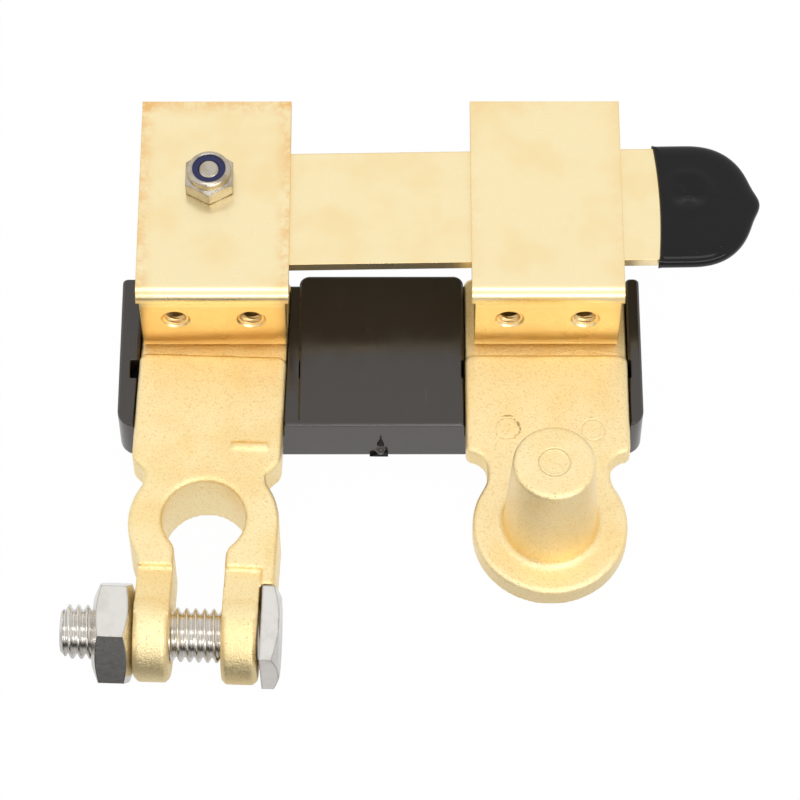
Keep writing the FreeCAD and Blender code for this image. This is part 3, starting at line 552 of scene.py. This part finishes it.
def thread_shape():
    """A screw thread, in millimetres: a tube whose radius rises and falls once per pitch.

    Each height lies a step further round. The ends close on the axis, or on a wall inside
    the metal that a hole is tapped in.
    """
    shape = Shape("screw_thread", Length="Float", Pitch="Float", Crest="Float", Root="Float",
                  Tip="Float", End="Float", Wall="Float", Rows="Int", Columns="Int")
    size = shape.inputs
    grid = shape.add("GeometryNodeMeshGrid",
                     {"Size X": 1.0, "Size Y": 1.0, "Vertices X": size["Columns"],
                      "Vertices Y": size["Rows"]})
    u, v, _ = shape.axes(shape.add("GeometryNodeInputPosition"))
    turn = u + 0.5
    last = size["Rows"] - 1
    row = (v + 0.5) * last
    height = ((row - 1) / (last - 3)).at_least(0.0).at_most(1.0) * size["Length"]
    wave = ((height / size["Pitch"] - turn).fraction() * 2 - 1).size().smooth(0.06, 0.94)
    radius = size["Root"] + (size["Crest"] - size["Root"]) * wave
    radius = radius.at_most(size["Tip"] + height)
    inside = (row > 0.5) * ((last - 1.5) > row)
    radius = radius * inside + size["End"] * (1 - inside)
    back = (row > (last - 0.5)) * size["Wall"]
    angle = turn * (2 * math.pi)
    point = shape.add("ShaderNodeCombineXYZ", {0: radius * angle.cosine(),
                                               1: radius * angle.sine(),
                                               2: height * (1 - back)})
    wound = shape.add("GeometryNodeSetPosition", {"Geometry": grid, "Position": point})
    shape.close(shape.add("GeometryNodeMergeByDistance", {"Geometry": wound, "Distance": 0.0005}))
    return shape


def add_mesh(shape, mesh, place):
    """Adds a mesh in millimetres to a piece's shape at a place."""
    mesh.transform(Matrix.Scale(MM, 4) @ place)
    shape.from_mesh(mesh)
    bpy.data.meshes.remove(mesh)


# Each jaw's web is tapped twice, for the screws of an accessory lead.
TAP_OFFSET, TAP_LEVEL, WEB_BACK = 5.05, 14.8, 1.97
thread = thread_shape()
taps = bmesh.new()
for tap_x in (-JAW_X - TAP_OFFSET, -JAW_X + TAP_OFFSET, JAW_X - TAP_OFFSET, JAW_X + TAP_OFFSET):
    tap = thread.make(Length=1.2, Pitch=0.62, Crest=1.38, Root=1.66, Tip=9.0, End=1.72,
                      Wall=1.0, Rows=30, Columns=49, Finish=jaw_brass.material)
    tap.flip_normals()
    add_mesh(taps, tap, Matrix.Translation((tap_x, WEB_BACK, TAP_LEVEL))
             @ Matrix.Rotation(math.radians(90), 4, "X"))
tap_threads = mesh_object("tapped_threads", taps, jaw_brass, 60)
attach(tap_threads, "switch")


# The grip is vinyl that the blade's end was dipped in: a thick black glossy skin with
# a bowed rim, a drip at its tip and a dimple where the bath's surface closed over it.

vinyl = Finish("dipped_vinyl")
ripple = vinyl.noise(0.25, 2.0)
bubbles = vinyl.noise(4.0, 2.0).smooth(0.76, 0.80)
vinyl.set(base_color=vinyl.mix((0.004, 0.004, 0.0045), (0.2, 0.2, 0.19), bubbles * 0.5),
          roughness=0.10 + ripple.smooth(0.4, 0.8) * 0.05, ior=1.33)
vinyl.relief(ripple + bubbles * 0.2, 0.05)

BLADE_TURN = math.radians(0.93)
HINGE = Vector((-22.95, 18.5, 0))
GRIP_START, GRIP_END = 60.4, 73.2
GRIP_MIDDLE, GRIP_HALF = 5.48 - 17.75 / 2, 9.525
GRIP_LOW, GRIP_HIGH = 17.05, 19.85
RIM_BOW = 0.55
ROUND_START = 64.0
RIM_FRONT = GRIP_START - RIM_BOW
DRIP, CROWN = 0.8, 0.10
RIM_ROUND, SIDE_ROUND = 1.3, 2.4
DIMPLE = (64.4, -2.0)


def grip_outline(count=36):
    """The grip seen from above, from the rim's front corner round the tip and back."""
    points = [(RIM_FRONT + (ROUND_START - RIM_FRONT) * i / 8, -1.0) for i in range(8)]
    for i in range(2 * count + 1):
        angle = -math.pi / 2 + math.pi * i / (2 * count)
        reach = (GRIP_END - ROUND_START) * max(math.cos(angle), 0) ** 0.80
        drip = DRIP * math.exp(-(math.sin(angle) / 0.20) ** 2)
        points.append((ROUND_START + reach + drip, math.sin(angle)))
    points += [(RIM_FRONT + (ROUND_START - RIM_FRONT) * i / 8, 1.0) for i in range(7, -1, -1)]
    for i in range(1, 24):
        side = 1 - i / 12
        points.append((GRIP_START - RIM_BOW * side * side, side))
    return [Vector((x, GRIP_MIDDLE + GRIP_HALF * y)) for x, y in points]


def dimple(x, y):
    """The pucker on the grip's upper side: a small pit with a starred rim."""
    dx, dy = x - DIMPLE[0], y - DIMPLE[1]
    reach = math.hypot(dx, dy)
    star = 1 + 0.28 * math.cos(3 * math.atan2(dy, dx) + math.pi / 2)
    pit = -0.60 * math.exp(-(reach / (1.4 * star)) ** 2)
    return pit + 0.16 * math.exp(-((reach - 2.9) / 0.8) ** 2)


def grip_levels():
    """From the waist up: how far in, how high, and how much of the plan is left."""
    for step in range(1, 13):
        lean = math.pi / 2 * step / 12
        yield (1 - math.cos(lean)) ** 1.25, math.sin(lean), 1.0
    for step in range(1, 37):
        yield 1.0, 1.0, 1 - step / 37


def way_in(outline, i):
    """The way into the outline at a point, longest across the straight sides."""
    edge = outline[(i + 1) % len(outline)] - outline[i - 1]
    way = Vector((-edge.y, edge.x)).normalized()
    if way.x > 0.3 and abs(way.y) > 0.3:
        way = Vector((1, math.copysign(1, way.y)))
    by = RIM_ROUND if way.x > 0.3 else SIDE_ROUND
    return Vector((way.x * (0.35 if way.x > 0 else 1.0), way.y)) * by


def make_grip():
    outline = grip_outline()
    count = len(outline)
    inward = [way_in(outline, i) for i in range(count)]
    middle_z = (GRIP_LOW + GRIP_HIGH) / 2
    half = (GRIP_HIGH - GRIP_LOW) / 2
    centre = Vector(DIMPLE)
    shape = bmesh.new()
    place = (Matrix.Scale(MM, 4) @ Matrix.Translation(HINGE)
             @ Matrix.Rotation(BLADE_TURN, 4, "Z"))
    waist = [shape.verts.new(place @ Vector((*point, middle_z))) for point in outline]
    for side in (-1, 1):
        lower = waist
        for inset, rise, share in grip_levels():
            upper = []
            for point, way in zip(outline, inward):
                spot = centre + (point + way * inset - centre) * share
                lift = dimple(*spot) if side > 0 and rise > 0.99 else 0
                z = middle_z + side * (half * rise * 0.93 + CROWN * (1 - share)) + lift
                upper.append(shape.verts.new(place @ Vector((*spot, z))))
            for i in range(count):
                j = (i + 1) % count
                shape.faces.new((lower[i], lower[j], upper[j], upper[i]))
            lower = upper
        shape.faces.new(lower)
    bmesh.ops.recalc_face_normals(shape, faces=shape.faces)
    return shape


grip = mesh_object("dipped_grip", make_grip(), vinyl, 80)
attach(grip, "blade")
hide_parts("blade_grip")


# The pivot is a small plated bolt from below. Its lock nut has a hexagon, a collar
# rolled in over a blue nylon ring, and stands on top of the left jaw.

def plated_finish(name, stretch, bright, dull):
    """Plated steel, a little dull in patches, with a painted dark reflection along its edges."""
    plated = Finish(name)
    lay = plated.noise(3.0, 4.0, 0.7, stretch=stretch)
    smudge = plated.noise(0.5, 3.0)
    colour = plated.mix(bright, dull, smudge.smooth(0.40, 0.80))
    # Painted reflection: the rounded edges are darkened in the colour, as if they mirrored something
    # dark.
    colour = plated.mix(colour, (0.06, 0.055, 0.05), plated.edges(0.5) * 0.6)
    plated.set(base_color=colour, metallic=1.0, roughness=0.15 + lay.smooth(0.3, 0.7) * 0.06)
    plated.relief(lay * 0.6 + plated.noise(9.0, 2.0), 0.006, 0.20)
    return plated


def turned(rings, turn=0.0, segments=72, closed=False):
    """A body of rings round +Z: each is a radius and a height, or gives them for an angle."""
    shape = bmesh.new()
    loops = []
    for ring in rings:
        loop = []
        for i in range(segments):
            angle = 2 * math.pi * i / segments
            radius, height = ring(angle) if callable(ring) else ring
            loop.append(shape.verts.new((radius * math.cos(angle + turn),
                                         radius * math.sin(angle + turn), height)))
        loops.append(loop)
    if closed:
        loops.append(loops[0])
    for lower, upper in zip(loops, loops[1:]):
        for i in range(segments):
            j = (i + 1) % segments
            shape.faces.new((lower[i], lower[j], upper[j], upper[i]))
    bmesh.ops.remove_doubles(shape, verts=shape.verts, dist=1e-4)
    bmesh.ops.recalc_face_normals(shape, faces=shape.faces)
    mesh = bpy.data.meshes.new("turned")
    shape.to_mesh(mesh)
    shape.free()
    return mesh


def flats(sides, across, face, slope, end, sign):
    """Where the flats of a bar meet the cone that turns down its corners at one end."""
    def ring(angle):
        part = 2 * math.pi / sides
        radius = across / 2 / math.cos(angle % part - part / 2)
        return radius, end - sign * slope * max(radius - face, 0)
    return ring


zinc = plated_finish("zinc_plating", (2.0, 2.0, 0.2), (0.53, 0.48, 0.40), (0.34, 0.27, 0.18))
LEAF_TOP = 20.75
LOCK_FLATS, LOCK_THREAD = 6.35, 1.47
HEXAGON_TOP, COLLAR, RING_ROOM = 2.45, 2.9, 2.2
lock = bmesh.new()
lock_nut = turned([(LOCK_THREAD, 0.3), (1.9, 0), (3.0, 0), flats(6, LOCK_FLATS, 3.0, 0.4, 0, -1),
                   flats(6, LOCK_FLATS, 2.9, 0.55, HEXAGON_TOP, 1), (2.95, HEXAGON_TOP),
                   (COLLAR, 2.6), (COLLAR, 3.05), (2.84, 3.3), (2.68, 3.5), (2.45, 3.6),
                   (2.28, 3.57), (RING_ROOM, 3.45), (RING_ROOM, 2.4), (LOCK_THREAD, 2.3)],
                  math.radians(30), closed=True)
add_mesh(lock, lock_nut, Matrix.Translation((HINGE.x, HINGE.y, LEAF_TOP)))
lock_piece = mesh_object("lock_nut_formed", lock, zinc, 24)
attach(lock_piece, "switch")
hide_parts("pivot_lock_nut")
zinc.dress("pivot_bolt", "base_screw_left_outer", "base_screw_left_inner",
           "base_screw_right_inner", "base_screw_right_outer")

nylon = Finish("blue_nylon")
nylon.set(base_color=(0.006, 0.008, 0.07), roughness=0.30)
nylon.relief(nylon.noise(3.0), 0.02, 0.2)
nylon.dress("lock_nut_insert")


# The clamp bolt lies through both ears: a square head that the lip keeps from turning,
# a rolled thread down to its bevelled end, and a hexagonal nut on the left ear.

def on_bolt(turn):
    """Where a piece drawn along +Z lies on the clamp bolt's axis, pointing left."""
    return (Matrix.Translation((*CLAMP_PIVOT, 0)) @ Matrix.Rotation(CLAMP_TURN, 4, "Z")
            @ Matrix.Translation((0, BOLT_Y, BOLT_Z))
            @ Matrix.Rotation(math.radians(turn), 4, "X")
            @ Matrix.Rotation(math.radians(-90), 4, "Y"))


nickel = plated_finish("nickel_plating", (1.0, 1.0, 1.0), (0.79, 0.76, 0.72), (0.70, 0.67, 0.63))
HEAD_BACK, HEAD_END, BOLT_TIP = -8.475, -10.875, 17.775
HEAD_FLATS, HEAD_FACE, CONE = 10.45, 5.3, 0.39
HEAD_LEAN = 5.3
bolt = bmesh.new()
head = turned([(0, HEAD_END), (HEAD_FACE, HEAD_END),
               flats(4, HEAD_FLATS, HEAD_FACE, CONE, HEAD_END, -1),
               flats(4, HEAD_FLATS, HEAD_FLATS, CONE, HEAD_BACK, 1), (3.3, HEAD_BACK),
               (0, HEAD_BACK)], math.radians(45))
add_mesh(bolt, head, on_bolt(HEAD_LEAN))
shank = thread.make(Length=BOLT_TIP - HEAD_BACK - 0.4, Pitch=1.18, Crest=3.57, Root=2.88, Tip=2.7,
                    End=0.0, Wall=0.0, Rows=262, Columns=65, Finish=nickel.material)
add_mesh(bolt, shank, on_bolt(0) @ Matrix.Translation((0, 0, BOLT_TIP))
         @ Matrix.Rotation(math.pi, 4, "X"))
bolt_piece = mesh_object("clamp_bolt_threaded", bolt, nickel, 40)
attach(bolt_piece, "switch")
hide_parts("clamp_bolt")

NUT_LOW, NUT_HIGH = 8.125, 13.425
NUT_FLATS, NUT_FACE, NUT_HOLE, NUT_CONE = 12.7, 4.95, 3.62, 0.42
nut = bmesh.new()
nut_mesh = turned([(NUT_HOLE, NUT_LOW + 0.5), (4.1, NUT_LOW), (NUT_FACE, NUT_LOW),
                   flats(6, NUT_FLATS, NUT_FACE, NUT_CONE, NUT_LOW, -1),
                   flats(6, NUT_FLATS, NUT_FACE, NUT_CONE, NUT_HIGH, 1), (NUT_FACE, NUT_HIGH),
                   (4.1, NUT_HIGH), (NUT_HOLE, NUT_HIGH - 0.5)], closed=True)
add_mesh(nut, nut_mesh, on_bolt(90))
nut_piece = mesh_object("clamp_nut_formed", nut, nickel, 15)
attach(nut_piece, "clamp_nut")
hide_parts("clamp_nut")


# The studio: a white table and white walls. In mirrored rays only, the table is darker to
# the left in front, which the nut and the ears mirror; it carries a painted shadow of the
# switch behind, which the black base mirrors, and painted shade in front. Three
# softboxes light the switch from above, from the left and from low in front.

FLOOR_Z = -3.9 * MM
floor_mesh = bpy.data.meshes.new("floor")
corners = [(-2, -2), (2, -2), (2, 2), (-2, 2)]
floor_mesh.from_pydata([(x, y, FLOOR_Z) for x, y in corners], [], [(0, 1, 2, 3)])
floor = bpy.data.objects.new("floor", floor_mesh)
bpy.context.scene.collection.objects.link(floor)
paper = Finish("white_paper")
paper.set(base_color=(0.82, 0.82, 0.82), roughness=0.9)
rays = paper.nodes.new("ShaderNodeLightPath")
seen = Socket(paper, rays.outputs["Is Camera Ray"])
mirrored = Socket(paper, rays.outputs["Is Glossy Ray"])
clear = Socket(paper, rays.outputs["Is Transmission Ray"])
dim_left_front = (1 - paper.y.smooth(-62, -48)) * (1 - paper.x.smooth(-8, 4))
# A painted shadow of the switch on the table behind it, seen only in mirrored rays.
painted_rear_shadow = paper.y.smooth(2, 10) * (1 - paper.y.smooth(34, 60)) * (1 - paper.x.size().smooth(45, 70))
# Painted shade of the switch on the table in front of it, seen only in mirrored rays.
before = 1 - paper.y.smooth(-45, -20)
white_in_metal = 0.96 - before * 0.26 - dim_left_front * 0.66 - painted_rear_shadow * 0.72
white = paper.add("ShaderNodeEmission",
                  {"Color": (1, 1, 1, 1), "Strength": seen + clear + mirrored * white_in_metal})
lit = Socket(paper, paper.shader.outputs[0])
surface = paper.add("ShaderNodeMixShader", {0: (seen + mirrored + clear) * 0.985, 1: lit,
                                            2: white})
paper.feed(paper.nodes["Material Output"].inputs["Surface"], surface)
floor.data.materials.append(paper.material)

world = bpy.data.worlds.new("studio")
world.use_nodes = True
sky = Graph(world.node_tree)
_, to_rear, to_top = sky.axes(sky.add("ShaderNodeTexCoord", out="Generated"))
dim_front = (1 - to_rear.smooth(-0.9, -0.6)) * (1 - to_top.smooth(0.02, 0.22))
to_camera = sky.add("ShaderNodeLightPath", out="Is Camera Ray")
walls = 0.97 - dim_front * 0.55
sky.feed(sky.nodes["Background"].inputs["Strength"], walls * (1 - to_camera) + to_camera)
sky.nodes["Background"].inputs["Color"].default_value = (1, 1, 1, 1)
bpy.context.scene.world = world


def lamp(name, at, target, size, watts):
    """A rectangular softbox at a place, turned to a target."""
    light = bpy.data.lights.new(name, "AREA")
    light.shape = "RECTANGLE"
    light.size, light.size_y = size
    light.energy = watts
    holder = bpy.data.objects.new(name, light)
    bpy.context.scene.collection.objects.link(holder)
    holder.location = at
    holder.rotation_euler = (Vector(target) - Vector(at)).to_track_quat("-Z", "Y").to_euler()


lamp("softbox_above", (0.02, -0.16, 0.58), (0.02, 0, 0), (0.50, 0.16), 0.50)
lamp("softbox_left", (-0.50, -0.25, 0.35), (0, 0, 0), (0.35, 0.35), 0.12)
lamp("strip_in_front", (0.25, -0.54, 0.29), (0.02, 0, 0.01), (0.70, 0.10), 1.10)


# The camera looks from 60 degrees above the front, as the photograph does. Its lens was
# fitted to the photograph, in which the focal length is this many of the 800 pixels.

FOCAL_PIXELS, FRAME_PIXELS, SENSOR = 3710.06, 800, 36
camera_data = bpy.data.cameras.new("camera")
camera_data.sensor_width = SENSOR
camera_data.lens = FOCAL_PIXELS / FRAME_PIXELS * SENSOR
camera = bpy.data.objects.new("camera", camera_data)
bpy.context.scene.collection.objects.link(camera)
eye = Vector((2.419, -257.893, 437.490)) * MM
aim = Vector((2.607, -7.954, 8.0)) * MM
camera.location = eye
camera.rotation_euler = (aim - eye).to_track_quat("-Z", "Y").to_euler()
bpy.context.scene.camera = camera
bpy.context.scene.view_settings.view_transform = "Standard"
